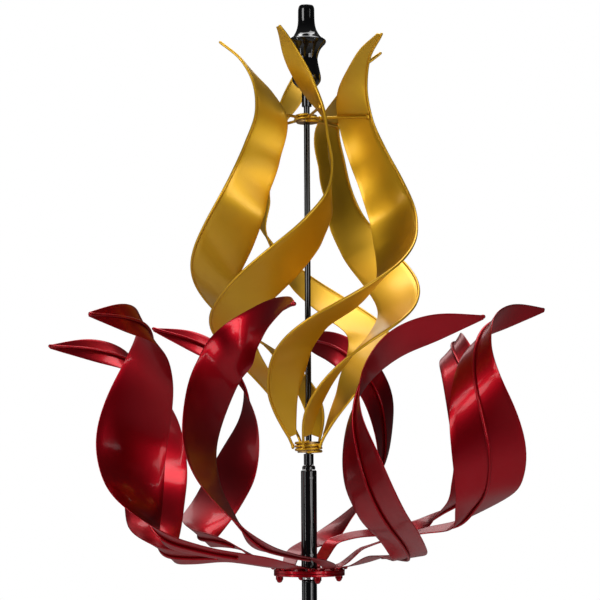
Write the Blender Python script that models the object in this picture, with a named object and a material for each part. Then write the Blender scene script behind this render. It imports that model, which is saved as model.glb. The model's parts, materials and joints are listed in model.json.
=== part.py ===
"""Kinetic wind sculpture: a five-ribbon gold flame inside an eight-petal red bloom, on a garden stake.

Metres, +Z up. The origin is at ground level on the pole's axis, under the step bar that stops the
stake. The bloom turns about +Z on the spindle rod, and the flame turns about the same rod above it.
An angle called turn is measured about +Z from the -Y direction, towards +X.
"""
import math

import bmesh
import bpy
import numpy as np
from mathutils import Matrix, Vector

GAP = 0.0003                    # clearance between touching pieces
HUB_Z = 0.960                   # the hub plane of the bloom above the ground

# ---- bloom: radius, turn, height over the hub plane, blade direction, blade dip, width -------------
# The blade direction is the turn of the outer edge, measured from straight outwards.
PETAL_STATIONS = (
    (0.030, 69, 0.004, 90, 0, 0.013),
    (0.046, 55, 0.005, 90, -2, 0.015),
    (0.068, 44, 0.011, 88, -5, 0.018),
    (0.092, 35, 0.018, 84, -10, 0.021),
    (0.145, 22, 0.025, 76, -20, 0.027),
    (0.184, 15, 0.033, 50, -24, 0.038),
    (0.198, 10, 0.052, 22, -16, 0.055),
    (0.217, 2, 0.086, 14, -8, 0.075),
    (0.227, -3, 0.130, 15, -4, 0.086),
    (0.223, -4, 0.170, 7, -6, 0.080),
    (0.216, -3, 0.210, -11, -10, 0.066),
    (0.213, 2, 0.245, -34, -20, 0.053),
    (0.224, 11, 0.274, -60, -40, 0.045),
    (0.258, 19, 0.288, -88, -62, 0.033),
    (0.305, 24, 0.293, -103, -75, 0.005),
)
# How each petal was set by hand when it was bent: turn, lean outwards, roll, twist of the stem and
# twist of the tip, in degrees. The first is the one at PETAL_FIRST_TURN and the others follow it round,
# anticlockwise from above.
PETAL_SETS = (
    (-10, -4, 7, 14, 48), (3, 6, -11, 24, 0), (9, -2, -4, 10, -7), (4, 1, 2, -3, -8),
    (3, 0, 0, 10, 0), (17, 3, -18, -2, 0), (-7, 5, -2, -14, 0), (-20, -7, 12, -20, 0),
)
PETAL_COUNT = 8
PETAL_FIRST_TURN = -25
SET_FROM, SET_TO = 0.046, 0.150  # the hand-set bend fades in between these radii
STEM_FROM, STEM_FULL = 0.040, 0.090  # radii between which the stem's twist comes in
STEM_LEAVE, STEM_OUT = 0.026, 0.090  # heights over the hub plane between which it goes out again
TIP_FROM, TIP_FULL = 0.215, 0.270  # heights over the hub plane between which the tip's twist comes in
STEM_RISES = (0, 0, 0.014, 0.022, 0, 0, 0, 0)  # how far up each petal's stem was bent, outside the hub
RISE_FROM, RISE_FULL = 0.040, 0.070  # radii between which the rise comes in
RISE_LEAVE, RISE_OUT = 0.034, 0.100  # heights over the hub plane between which it goes out again
SMOOTHING = 0.011                # the bends are evened out over about this length
PETAL_SECTIONS = 26
FINE_STEPS = 5                   # steps between two sections while the bends are evened out
SHEET = 0.0012
RIB_RADIUS = 0.00175
RIB_START = 4                    # first section of the petal that carries the rib

# ---- flame: radius, turn, height over the hub plane, blade lean, blade dip, width ------------------
# The stations follow the edge wire, and the blade leans this far from straight inwards.
FLAME_STATIONS = (
    (0.105, -19, 0.633, 80, -18, 0.005),
    (0.083, -11, 0.611, 70, -12, 0.020),
    (0.073, 3, 0.577, 27, -6, 0.034),
    (0.078, 12, 0.543, -12, -2, 0.040),
    (0.095, 13, 0.503, -14, 0, 0.046),
    (0.112, 13, 0.471, -12, -1, 0.051),
    (0.126, 9, 0.439, -22, 6, 0.057),
    (0.134, -2, 0.406, -28, 8, 0.061),
    (0.139, -22, 0.366, -34, 10, 0.059),
    (0.132, -49, 0.325, -33, 11, 0.053),
    (0.117, -79, 0.287, -20, 10, 0.049),
    (0.097, -97, 0.262, -16, 12, 0.047),
    (0.074, -115, 0.234, -22, 10, 0.043),
    (0.056, -132, 0.206, -24, 6, 0.034),
    (0.036, -147, 0.176, -28, 2, 0.021),
    (0.024, -153, 0.158, -34, 2, 0.010),
)
FLAME_WIRE_END = (0.0190, -157, 0.1475, -34, 2, 0.006)
RIBBON_COUNT = 5
# How far each ribbon sits round from its even place, in degrees. The first starts at the front.
FLAME_SETS = (2, 5, -6, -14, 10)
FLAME_SECTIONS = 30
WIRE_RADIUS = 0.00175
SPOKE_HEIGHT = 0.543             # the spokes' level over the hub plane, at the flame's narrow neck
SPOKE_RADIUS = 0.00175

# ---- coils that carry the ribbons: mean radius, lowest turn's height, number of turns --------------
COIL_WIRE = 0.0016
COIL_PITCH = 2 * COIL_WIRE + 0.0007
BOTTOM_COIL = (0.0150, 0.1405, 3)
TOP_COIL = (0.0142, 0.5375, 2)

# ---- spindle rod and what is stacked on it, as heights over the hub plane --------------------------
SPINDLE_RADIUS = 0.0036
BORE_RADIUS = SPINDLE_RADIUS + GAP
ROD_TOP = 0.640
COLLAR_RADIUS, COLLAR_HEIGHT, COLLAR_CHAMFER = 0.0078, 0.0052, 0.0016
SPACER_RADIUS, SPACER_TOP = 0.0059, 0.1385
FINIAL_PROFILE = (
    (0.0060, 0.557), (0.0060, 0.5785), (0.0115, 0.5810), (0.0168, 0.5875), (0.0174, 0.5935),
    (0.0160, 0.6010), (0.0140, 0.6110), (0.0138, 0.6175), (0.0170, 0.6270), (0.0232, 0.6345),
    (0.0240, 0.6370), (0.0228, 0.6388), (0.0165, 0.6440), (0.0120, 0.6520), (0.0102, 0.6620),
    (0.0099, 0.6775), (0.0085, 0.6808), (0.0050, 0.6818), (0, 0.6820),
)

# ---- hub of the bloom ------------------------------------------------------------------------------
PLATE_RADIUS = 0.042
PLATE_TOP, PLATE_BOTTOM = 0.002, -0.0015
FLANGE_BOTTOM = -0.005
TUBE_RADIUS, TUBE_BORE, TUBE_TOP, TUBE_CHAMFER = 0.0094, 0.0076, 0.119, 0.001
BUSH_LENGTH, BUSH_INSET = 0.012, 0.0005
BOLT_COUNT, BOLT_CIRCLE, BOLT_TURN = 4, 0.0365, 15.5
BOLT_RADIUS, BOLT_HEAD, BOLT_HEAD_HEIGHT = 0.0022, 0.0042, 0.0022
NUT_RADIUS, NUT_HEIGHT, DOME_RADIUS = 0.0044, 0.0045, 0.0036
NUT_GRIP = 0.0035                # how far the bolt reaches into its nut
DRILL_OVER = 0.01                # how far a drill runs past both faces of a plate

# ---- pole and stake --------------------------------------------------------------------------------
POLE_RADIUS, POLE_BORE = 0.0090, 0.0078
POLE_TOP = HUB_Z - 0.0100
POLE_JOINT, POLE_LAP = 0.520, 0.060
NECK_RADIUS = POLE_BORE - 0.0014  # bore of the lower pole, whose swaged neck fits the upper one
PLUG_RIM, PLUG_LENGTH = 0.003, 0.070
ROD_SEAT = POLE_TOP - 0.060      # the spindle rod stands this deep in the plug
WASHER_RADIUS = 0.0086
BAR_LENGTH, BAR_WIDTH, BAR_THICKNESS, BAR_CORNER = 0.150, 0.032, 0.005, 0.012
SOCKET_RADIUS, SOCKET_HEIGHT, SOCKET_CHAMFER = 0.0125, 0.085, 0.001
PRONG_RADIUS, PRONG_SPREAD, PRONG_LENGTH, PRONG_TIP = 0.0050, 0.058, 0.200, 0.030
PRONG_PROUD = 0.0015             # each prong goes through the bar and stands this far out of its top
SCREW_Z, SCREW_RADIUS, SCREW_SHANK = 0.062, 0.0030, 0.0055
KNOB_RADIUS, KNOB_HEIGHT, KNOB_CHAMFER = 0.0080, 0.0080, 0.0010


def clear_scene():
    for thing in list(bpy.data.objects):
        bpy.data.objects.remove(thing, do_unlink=True)


def paint(name, colour, roughness, metallic):
    material = bpy.data.materials.new(name)
    material.use_nodes = True
    shader = material.node_tree.nodes["Principled BSDF"]
    shader.inputs["Base Color"].default_value = (*colour, 1)
    shader.inputs["Roughness"].default_value = roughness
    shader.inputs["Metallic"].default_value = metallic
    return material


def outwards(turn):
    angle = math.radians(turn)
    return Vector((math.sin(angle), -math.cos(angle), 0))


def add(name, verts, faces, material, parent=None, smooth=35):
    """Make one object from world-space points and hang it on its turning empty."""
    mesh = bpy.data.meshes.new(name)
    mesh.from_pydata([tuple(v) for v in verts], [], faces)
    bm = bmesh.new()
    bm.from_mesh(mesh)
    bmesh.ops.recalc_face_normals(bm, faces=bm.faces)
    bm.to_mesh(mesh)
    bm.free()
    mesh.shade_smooth()
    mesh.set_sharp_from_angle(angle=math.radians(smooth))
    thing = bpy.data.objects.new(name, mesh)
    thing.data.materials.append(material)
    bpy.context.scene.collection.objects.link(thing)
    if parent:
        thing.parent = parent
        thing.matrix_parent_inverse = parent.matrix_world.inverted()
    return thing


def axle(name, height):
    """An empty on a turning axis, which the pieces of that rotor hang on."""
    empty = bpy.data.objects.new(name, None)
    empty.location = (0, 0, height)
    bpy.context.scene.collection.objects.link(empty)
    bpy.context.view_layer.update()
    return empty


def sample(stations, count):
    """Points of a smooth curve through the stations, evenly spaced along it."""
    table = np.array(stations, float)
    angle = np.radians(table[:, 1])
    place = np.stack([table[:, 0] * np.sin(angle), -table[:, 0] * np.cos(angle), table[:, 2]], 1)
    along = np.concatenate([[0], np.cumsum(np.linalg.norm(np.diff(place, axis=0), axis=1))])
    slope = np.gradient(table, along, axis=0)
    where = np.linspace(0, along[-1], count)
    index = np.clip(np.searchsorted(along, where, side="right") - 1, 0, len(along) - 2)
    span = (along[index + 1] - along[index])[:, None]
    t = (where - along[index])[:, None] / span
    start, end = table[index], table[index + 1]
    return ((2 * t**3 - 3 * t**2 + 1) * start + (t**3 - 2 * t**2 + t) * span * slope[index]
            + (3 * t**2 - 2 * t**3) * end + (t**3 - t**2) * span * slope[index + 1])


def frames(rows, blade_turn):
    """Centre, along, across and width of each section; blade_turn gives a row's edge direction."""
    centres = [outwards(row[1]) * row[0] + Vector((0, 0, row[2] + HUB_Z)) for row in rows]
    result = []
    for i, row in enumerate(rows):
        along = (centres[min(i + 1, len(rows) - 1)] - centres[max(i - 1, 0)]).normalized()
        dip = math.radians(row[4])
        across = outwards(blade_turn(row)) * math.cos(dip) - Vector((0, 0, math.sin(dip)))
        across = (across - along * across.dot(along)).normalized()
        result.append([centres[i], along, across, max(row[5], 0.002)])
    return result


def step(value, low, high):
    """0 below low, 1 above high and a smooth rise between them."""
    t = min(max((value - low) / (high - low), 0), 1)
    return t * t * (3 - 2 * t)


def evened(rows):
    """The rows of a finely sampled strip with their sharp bends evened out; both ends stay."""
    angle = np.radians(rows[:, 1])
    place = np.stack([rows[:, 0] * np.sin(angle), -rows[:, 0] * np.cos(angle), rows[:, 2]], 1)
    pitch = np.linalg.norm(np.diff(place, axis=0), axis=1).mean()
    reach = int(3 * SMOOTHING / pitch)
    weights = np.exp(-0.5 * (np.arange(-reach, reach + 1) * pitch / SMOOTHING) ** 2)
    before = 2 * rows[0] - rows[reach:0:-1]
    after = 2 * rows[-1] - rows[-2:-reach - 2:-1]
    padded = np.concatenate([before, rows, after])
    return np.stack([np.convolve(column, weights / weights.sum(), "valid") for column in padded.T], 1)


def turned_by_hand(section, row, setting, place):
    """Give one petal section its share of the hand-set twists, lean and roll, and turn it to its place."""
    radius, height = row[0], row[2]
    turn, lean, roll, stem_twist, tip_twist = (math.radians(value) for value in setting)
    stem = step(radius, STEM_FROM, STEM_FULL) * (1 - step(height, STEM_LEAVE, STEM_OUT))
    twist = stem_twist * stem + tip_twist * step(height, TIP_FROM, TIP_FULL)
    centre, along, across, width = section
    across = across * math.cos(twist) + across.cross(along) * math.sin(twist)
    share = step(radius, SET_FROM, SET_TO)
    swing = (Matrix.Rotation(math.radians(place) + turn * share, 3, "Z")
             @ Matrix.Rotation(roll * share, 3, "Y") @ Matrix.Rotation(lean * share, 3, "X"))
    hub = Vector((0, 0, HUB_Z))
    return [swing @ (centre - hub) + hub, swing @ along, swing @ across, width]


def blade(sections, near, far):
    """A closed thin sheet: near and far give each section's two edge distances along across."""
    verts, faces = [], []
    columns = 3
    for section in sections:
        centre, along, across, width = section
        face = across.cross(along).normalized() * SHEET / 2
        first, last = near(width), far(width)
        middle = 0.0 if first < 0 else (first + last) / 2
        for side in (1, -1):
            for distance in (first, middle, last):
                verts.append(centre + across * distance + face * side)
    row = 2 * columns
    for i in range(len(sections) - 1):
        a, b = i * row, (i + 1) * row
        for c in range(columns - 1):
            faces.append((a + c, a + c + 1, b + c + 1, b + c))
            faces.append((a + columns + c, b + columns + c, b + columns + c + 1, a + columns + c + 1))
        faces.append((a, b, b + columns, a + columns))
        faces.append((a + 2, a + columns + 2, b + columns + 2, b + 2))
    last = (len(sections) - 1) * row
    for a in (0, last):
        for c in range(columns - 1):
            faces.append((a + c, a + columns + c, a + columns + c + 1, a + c + 1))
    return verts, faces


def rod(centres, radius, sides=6, normals=None):
    """A closed round rod along the centres."""
    verts, faces = [], []
    count = len(centres)
    guide = normals[0] if normals else Vector((0.31, 0.17, 0.93))
    for i in range(count):
        along = (centres[min(i + 1, count - 1)] - centres[max(i - 1, 0)]).normalized()
        guide = normals[i] if normals else guide
        guide = (guide - along * guide.dot(along)).normalized()
        other = along.cross(guide)
        for k in range(sides):
            angle = 2 * math.pi * (k + 0.5) / sides
            verts.append(centres[i] + (guide * math.cos(angle) + other * math.sin(angle)) * radius)
    for i in range(count - 1):
        for k in range(sides):
            m = (k + 1) % sides
            faces.append((i * sides + k, i * sides + m, (i + 1) * sides + m, (i + 1) * sides + k))
    faces.append(tuple(range(sides))[::-1])
    faces.append(tuple((count - 1) * sides + k for k in range(sides)))
    return verts, faces


def turning(profile, sides=20, centre=(0, 0, 0)):
    """A closed solid of revolution about a vertical axis. The profile is a loop of (radius, height)."""
    verts, faces, rings = [], [], []
    for radius, height in profile:
        if radius == 0:
            rings.append([len(verts)])
            verts.append(Vector((centre[0], centre[1], centre[2] + height)))
            continue
        rings.append(list(range(len(verts), len(verts) + sides)))
        for k in range(sides):
            direction = outwards(360 * k / sides) * radius
            verts.append(Vector(centre) + direction + Vector((0, 0, height)))
    closed = profile[0][0] != 0
    pairs = [(i, (i + 1) % len(rings)) for i in range(len(rings) if closed else len(rings) - 1)]
    for i, j in pairs:
        low, high = rings[i], rings[j]
        if len(low) == len(high) == 1:
            continue
        for k in range(sides):
            m = (k + 1) % sides
            if len(low) == 1:
                faces.append((low[0], high[k], high[m]))
            elif len(high) == 1:
                faces.append((low[k], high[0], low[m]))
            else:
                faces.append((low[k], low[m], high[m], high[k]))
    return verts, faces


def cut_holes(thing, radius, low, high, places):
    """Drill round holes through a plate with exact Booleans."""
    for i, place in enumerate(places):
        middle = (place[0], place[1], 0)
        verts, faces = turning(((0, low), (radius, low), (radius, high), (0, high)), 12, middle)
        cutter = add(f"{thing.name}_drill_{i}", verts, faces, thing.data.materials[0])
        cutter.hide_render = True
        cutter.display_type = "WIRE"
        drill = thing.modifiers.new(f"drill_{i}", "BOOLEAN")
        drill.operation = "DIFFERENCE"
        drill.solver = "EXACT"
        drill.object = cutter


def petal_frames(index):
    rows = evened(sample(PETAL_STATIONS, (PETAL_SECTIONS - 1) * FINE_STEPS + 1))[::FINE_STEPS]
    for row in rows:
        rise = step(row[0], RISE_FROM, RISE_FULL) * (1 - step(row[2], RISE_LEAVE, RISE_OUT))
        row[2] += STEM_RISES[index] * rise
    plain = frames(rows, lambda row: row[1] + row[3])
    place = PETAL_FIRST_TURN + 360 / PETAL_COUNT * index
    return [turned_by_hand(s, row, PETAL_SETS[index], place) for s, row in zip(plain, rows)]


def build_petals(red, red_wire, rotor):
    """Each petal is one bent strip of sheet with a round wire rib along the middle of its outer face."""
    for index in range(PETAL_COUNT):
        sections = petal_frames(index)
        verts, faces = blade(sections, lambda w: -w / 2, lambda w: w / 2)
        add(f"petal_{index + 1}", verts, faces, red, rotor)
        normals = [s[2].cross(s[1]).normalized() for s in sections]
        offset = SHEET / 2 + RIB_RADIUS + GAP
        centres = [s[0] + n * offset for s, n in zip(sections, normals)]
        verts, faces = rod(centres[RIB_START:], RIB_RADIUS, 6, normals[RIB_START:])
        add(f"petal_rib_{index + 1}", verts, faces, red_wire, rotor)


def build_hub(red, red_wire, black, bronze, rotor):
    """The petal plate on the flanged hub tube, the two bushes inside it, four bolts and cap nuts."""
    bolts = [outwards(BOLT_TURN + 360 * k / BOLT_COUNT) * BOLT_CIRCLE for k in range(BOLT_COUNT)]
    low, high = HUB_Z + PLATE_BOTTOM, HUB_Z + PLATE_TOP
    inner = TUBE_RADIUS + GAP
    plate = add("petal_plate", *turning(((inner, low), (PLATE_RADIUS, low), (PLATE_RADIUS, high),
                                         (inner, high)), 32), red, rotor)
    cut_holes(plate, BOLT_RADIUS + GAP, low - DRILL_OVER, high + DRILL_OVER, bolts)
    base, shoulder, top = HUB_Z + FLANGE_BOTTOM, low - GAP, HUB_Z + TUBE_TOP
    profile = ((TUBE_BORE, base), (PLATE_RADIUS, base), (PLATE_RADIUS, shoulder), (TUBE_RADIUS, shoulder),
               (TUBE_RADIUS, top - TUBE_CHAMFER), (TUBE_RADIUS - TUBE_CHAMFER, top), (TUBE_BORE, top))
    tube = add("hub_tube", *turning(profile, 32), black, rotor)
    cut_holes(tube, BOLT_RADIUS + GAP, base - DRILL_OVER, shoulder + DRILL_OVER, bolts)
    fit = TUBE_BORE - GAP
    for name, start in (("hub_bush_lower", base + BUSH_INSET),
                        ("hub_bush_upper", top - BUSH_INSET - BUSH_LENGTH)):
        end = start + BUSH_LENGTH
        profile = ((BORE_RADIUS, start), (fit, start), (fit, end), (BORE_RADIUS, end))
        add(name, *turning(profile), bronze, rotor)
    for k, place in enumerate(bolts):
        seat, shank = high + GAP, base - GAP - NUT_GRIP
        profile = ((0, shank), (BOLT_RADIUS, shank), (BOLT_RADIUS, seat), (BOLT_HEAD, seat),
                   (BOLT_HEAD, seat + BOLT_HEAD_HEIGHT / 2), (BOLT_HEAD * 0.6, seat + BOLT_HEAD_HEIGHT),
                   (0, seat + BOLT_HEAD_HEIGHT))
        add(f"hub_bolt_{k + 1}", *turning(profile, 12, place), red_wire, rotor)
        under = base - GAP
        hollow = BOLT_RADIUS + GAP
        roof = shank - GAP
        dome = [(DOME_RADIUS * math.cos(a), under - NUT_HEIGHT - DOME_RADIUS * math.sin(a))
                for a in np.radians((0, 30, 60))]
        profile = [(0, under - NUT_HEIGHT - DOME_RADIUS)] + dome[::-1] + [
            (NUT_RADIUS, under - NUT_HEIGHT), (NUT_RADIUS, under), (hollow, under), (hollow, roof),
            (0, roof)]
        add(f"cap_nut_{k + 1}", *turning(profile, 12, place), red_wire, rotor)


def flame_frames(index, stations, count):
    rows = sample(stations, count)
    rows[:, 1] += 360 / RIBBON_COUNT * index + FLAME_SETS[index]
    return frames(rows, lambda row: row[1] + 180 + row[3])


def coil(shape):
    """A wire wound round the axis, one pitch higher each turn."""
    radius, start, turns = shape
    steps = 16 * turns
    centres = [outwards(360 * turns * i / steps) * radius
               + Vector((0, 0, HUB_Z + start + COIL_PITCH * turns * i / steps)) for i in range(steps + 1)]
    return rod(centres, COIL_WIRE, 6)


def build_flame(gold, gold_wire, bronze):
    rotor = axle("flame_axle", HUB_Z + SPOKE_HEIGHT)
    start = WIRE_RADIUS + GAP
    wire_stations = FLAME_STATIONS + (FLAME_WIRE_END,)
    for index in range(RIBBON_COUNT):
        sections = flame_frames(index, FLAME_STATIONS, FLAME_SECTIONS)
        verts, faces = blade(sections, lambda w: start, lambda w: start + w)
        add(f"flame_ribbon_{index + 1}", verts, faces, gold, rotor)
        tail = flame_frames(index, wire_stations[-3:], 5)[-2:]
        centres = [s[0] for s in sections] + [s[0] for s in tail]
        verts, faces = rod(centres, WIRE_RADIUS, 6, [s[2] for s in sections + tail])
        add(f"flame_wire_{index + 1}", verts, faces, gold_wire, rotor)
        level = HUB_Z + SPOKE_HEIGHT
        near = min(sections, key=lambda s: abs(s[0].z - level))
        side = near[2].cross(near[1]).normalized() * (SHEET / 2 + SPOKE_RADIUS + GAP)
        outer = near[0] + near[2] * (WIRE_RADIUS + SPOKE_RADIUS + GAP) + side
        inner_turn = math.degrees(math.atan2(outer.x, -outer.y))
        inner = outwards(inner_turn) * (TOP_COIL[0] + COIL_WIRE + SPOKE_RADIUS) + Vector((0, 0, level))
        path = [inner.lerp(outer, t) for t in (0, 0.35, 0.7, 1)]
        verts, faces = rod(path, SPOKE_RADIUS, 6)
        add(f"top_spoke_{index + 1}", verts, faces, gold_wire, rotor)
    add("bottom_coil", *coil(BOTTOM_COIL), gold_wire, rotor)
    add("top_coil", *coil(TOP_COIL), gold_wire, rotor)
    for name, shape in (("flame_bush_lower", BOTTOM_COIL), ("flame_bush_upper", TOP_COIL)):
        outer = shape[0] - COIL_WIRE - 2 * GAP
        low = HUB_Z + shape[1] - COIL_WIRE / 2
        high = low + COIL_PITCH * shape[2] + COIL_WIRE
        profile = ((BORE_RADIUS, low), (outer, low), (outer, high), (BORE_RADIUS, high))
        add(name, *turning(profile), bronze, rotor)


def sleeve(name, inner, outer, low, high, material):
    """A plain tube on the pole's axis."""
    profile = ((inner, low), (outer, low), (outer, high), (inner, high))
    return add(name, *turning(profile, 24), material)


def build_spindle(black):
    low, high = ROD_SEAT, HUB_Z + ROD_TOP
    profile = ((0, low), (SPINDLE_RADIUS, low), (SPINDLE_RADIUS, high), (0, high))
    add("spindle_rod", *turning(profile, 16), black)
    low = HUB_Z + TUBE_TOP + 2 * GAP
    high = low + COLLAR_HEIGHT
    profile = ((BORE_RADIUS, low), (COLLAR_RADIUS, low), (COLLAR_RADIUS, high - COLLAR_CHAMFER),
               (COLLAR_RADIUS - COLLAR_CHAMFER, high), (BORE_RADIUS, high))
    add("stop_collar", *turning(profile, 24), black)
    sleeve("spacer_tube", BORE_RADIUS, SPACER_RADIUS, high + GAP, HUB_Z + SPACER_TOP, black)
    profile = [(BORE_RADIUS, FINIAL_PROFILE[0][1])] + list(FINIAL_PROFILE)
    profile += [(0, ROD_TOP + GAP), (BORE_RADIUS, ROD_TOP + GAP)]
    add("finial", *turning(profile, 24, (0, 0, HUB_Z)), black, smooth=28)


def build_pole(black, steel):
    low, joint, top = BAR_THICKNESS + GAP, POLE_JOINT, POLE_TOP - PLUG_RIM
    fit = POLE_BORE - GAP
    profile = ((NECK_RADIUS, low), (POLE_RADIUS, low), (POLE_RADIUS, joint), (fit, joint),
               (fit, joint + POLE_LAP), (NECK_RADIUS, joint + POLE_LAP))
    add("pole_lower", *turning(profile, 24), black)
    sleeve("pole_upper", POLE_BORE, POLE_RADIUS, joint + GAP, top, black)
    seat, foot, floor = top + GAP, POLE_TOP - PLUG_LENGTH, ROD_SEAT - GAP
    profile = ((0, foot), (fit, foot), (fit, seat), (POLE_RADIUS, seat), (POLE_RADIUS, POLE_TOP),
               (BORE_RADIUS, POLE_TOP), (BORE_RADIUS, floor), (0, floor))
    add("pole_plug", *turning(profile, 24), black)
    low, high = POLE_TOP + GAP, HUB_Z + FLANGE_BOTTOM - GAP
    sleeve("thrust_washer", BORE_RADIUS, WASHER_RADIUS, low, high, steel)


def build_step_bar(black):
    half_length, half_width = BAR_LENGTH / 2, BAR_WIDTH / 2
    corner, steps = BAR_CORNER, 4
    outline = []
    for cx, cy, first in ((1, 1, 0), (-1, 1, 90), (-1, -1, 180), (1, -1, 270)):
        for k in range(steps + 1):
            angle = math.radians(first + 90 * k / steps)
            outline.append((cx * (half_length - corner) + corner * math.cos(angle),
                            cy * (half_width - corner) + corner * math.sin(angle)))
    count = len(outline)
    verts = [(x, y, z) for z in (0, BAR_THICKNESS) for x, y in outline]
    faces = [tuple(range(count))[::-1], tuple(range(count, 2 * count))]
    faces += [(k, (k + 1) % count, count + (k + 1) % count, count + k) for k in range(count)]
    bar = add("step_bar", verts, faces, black)
    places = [(side * PRONG_SPREAD, 0) for side in (-1, 1)]
    cut_holes(bar, PRONG_RADIUS + GAP, -BAR_THICKNESS, 2 * BAR_THICKNESS, places)


def build_stake(black):
    """The step bar, the socket that holds the pole with its thumb screw, and the two ground prongs."""
    build_step_bar(black)
    low, high = BAR_THICKNESS + GAP, BAR_THICKNESS + SOCKET_HEIGHT
    bore = POLE_RADIUS + GAP
    profile = ((bore, low), (SOCKET_RADIUS, low), (SOCKET_RADIUS, high - SOCKET_CHAMFER),
               (SOCKET_RADIUS - SOCKET_CHAMFER, high), (bore, high))
    socket = add("stake_socket", *turning(profile, 24), black)
    path = [Vector((0, -bore / 2, SCREW_Z)), Vector((0, -2 * bore, SCREW_Z))]
    cutter = add("socket_drill", *rod(path, SCREW_RADIUS + GAP, 12), black)
    cutter.hide_render = True
    cutter.display_type = "WIRE"
    drill = socket.modifiers.new("screw_hole", "BOOLEAN")
    drill.operation = "DIFFERENCE"
    drill.solver = "EXACT"
    drill.object = cutter
    end = SCREW_SHANK + KNOB_HEIGHT
    verts, faces = turning(((0, 0), (SCREW_RADIUS, 0), (SCREW_RADIUS, SCREW_SHANK),
                            (KNOB_RADIUS, SCREW_SHANK), (KNOB_RADIUS, end - KNOB_CHAMFER),
                            (KNOB_RADIUS - KNOB_CHAMFER, end), (0, end)), 16)
    swing = Matrix.Translation((0, -bore, SCREW_Z)) @ Matrix.Rotation(math.pi / 2, 4, "X")
    add("socket_screw", [swing @ v for v in verts], faces, black)
    top = BAR_THICKNESS + PRONG_PROUD
    profile = ((0, -PRONG_LENGTH), (PRONG_RADIUS, PRONG_TIP - PRONG_LENGTH), (PRONG_RADIUS, top), (0, top))
    for name, side in (("prong_left", -1), ("prong_right", 1)):
        add(name, *turning(profile, 12, (side * PRONG_SPREAD, 0, 0)), black)


def main():
    clear_scene()
    red = paint("candy_red_paint", (0.45, 0.005, 0.012), 0.22, 0.55)
    red_wire = paint("candy_red_wire", (0.40, 0.006, 0.012), 0.25, 0.55)
    gold = paint("gold_paint", (0.62, 0.36, 0.06), 0.35, 0.75)
    gold_wire = paint("gold_wire", (0.62, 0.38, 0.10), 0.30, 0.80)
    black = paint("gloss_black_coat", (0.006, 0.006, 0.007), 0.18, 0.0)
    bronze = paint("sintered_bronze", (0.35, 0.22, 0.09), 0.45, 0.9)
    steel = paint("zinc_steel", (0.45, 0.45, 0.46), 0.35, 1.0)
    build_stake(black)
    build_pole(black, steel)
    build_spindle(black)
    bloom = axle("bloom_axle", HUB_Z)
    build_petals(red, red_wire, bloom)
    build_hub(red, red_wire, black, bronze, bloom)
    build_flame(gold, gold_wire, bronze)


main()
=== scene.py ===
"""Looks of the kinetic wind sculpture: painted sheet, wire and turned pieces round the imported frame.

Metres, +Z up, in the frame of the CAD model. A turn is an angle about +Z, from -Y towards +X, in degrees.
"""
import json
import math

import bmesh
import bpy
import numpy as np
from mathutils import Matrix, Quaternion, Vector


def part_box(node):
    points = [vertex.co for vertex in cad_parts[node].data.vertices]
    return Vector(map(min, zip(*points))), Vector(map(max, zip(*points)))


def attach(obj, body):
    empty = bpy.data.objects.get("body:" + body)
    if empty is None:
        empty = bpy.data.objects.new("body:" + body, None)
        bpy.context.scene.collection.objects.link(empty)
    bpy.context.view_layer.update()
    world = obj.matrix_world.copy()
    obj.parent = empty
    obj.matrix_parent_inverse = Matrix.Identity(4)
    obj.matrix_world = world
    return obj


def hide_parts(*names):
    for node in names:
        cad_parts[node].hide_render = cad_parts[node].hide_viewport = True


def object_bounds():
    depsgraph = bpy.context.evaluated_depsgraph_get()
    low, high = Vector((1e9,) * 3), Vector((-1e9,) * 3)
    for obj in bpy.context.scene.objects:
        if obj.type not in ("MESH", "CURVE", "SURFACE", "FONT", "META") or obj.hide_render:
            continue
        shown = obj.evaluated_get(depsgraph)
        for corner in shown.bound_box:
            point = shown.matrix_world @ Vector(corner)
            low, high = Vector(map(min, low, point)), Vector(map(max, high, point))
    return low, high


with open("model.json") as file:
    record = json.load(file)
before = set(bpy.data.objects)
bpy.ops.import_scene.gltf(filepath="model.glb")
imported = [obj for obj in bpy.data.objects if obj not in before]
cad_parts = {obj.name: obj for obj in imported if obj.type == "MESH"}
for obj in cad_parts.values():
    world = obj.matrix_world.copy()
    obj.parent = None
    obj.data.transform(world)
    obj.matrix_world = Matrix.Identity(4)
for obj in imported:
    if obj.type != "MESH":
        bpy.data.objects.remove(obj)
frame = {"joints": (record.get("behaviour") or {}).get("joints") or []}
cad_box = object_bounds()

UP = np.array((0.0, 0.0, 1.0))
AXLES = {joint["name"]: joint["pos_m"][2] for joint in frame["joints"]}
HUB_Z = AXLES["bloom_spin"]
SPOKE_Z = AXLES["flame_spin"]

# ---- petals: radius, turn, height over the hub plane, blade direction, blade dip, width ------------
PETAL_STATIONS = (
    (0.030, 69, 0.004, 90, 0, 0.013),
    (0.046, 55, 0.005, 90, -2, 0.015),
    (0.068, 44, 0.011, 88, -5, 0.018),
    (0.092, 35, 0.018, 84, -10, 0.021),
    (0.145, 22, 0.025, 76, -20, 0.027),
    (0.184, 15, 0.033, 50, -24, 0.038),
    (0.198, 10, 0.052, 22, -16, 0.055),
    (0.217, 2, 0.086, 14, -8, 0.075),
    (0.227, -3, 0.130, 15, -4, 0.086),
    (0.223, -4, 0.170, 7, -6, 0.080),
    (0.216, -3, 0.210, -11, -10, 0.066),
    (0.213, 2, 0.245, -34, -20, 0.053),
    (0.224, 11, 0.274, -60, -40, 0.045),
    (0.258, 19, 0.288, -88, -62, 0.033),
    (0.305, 24, 0.293, -103, -75, 0.005),
)
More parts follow.
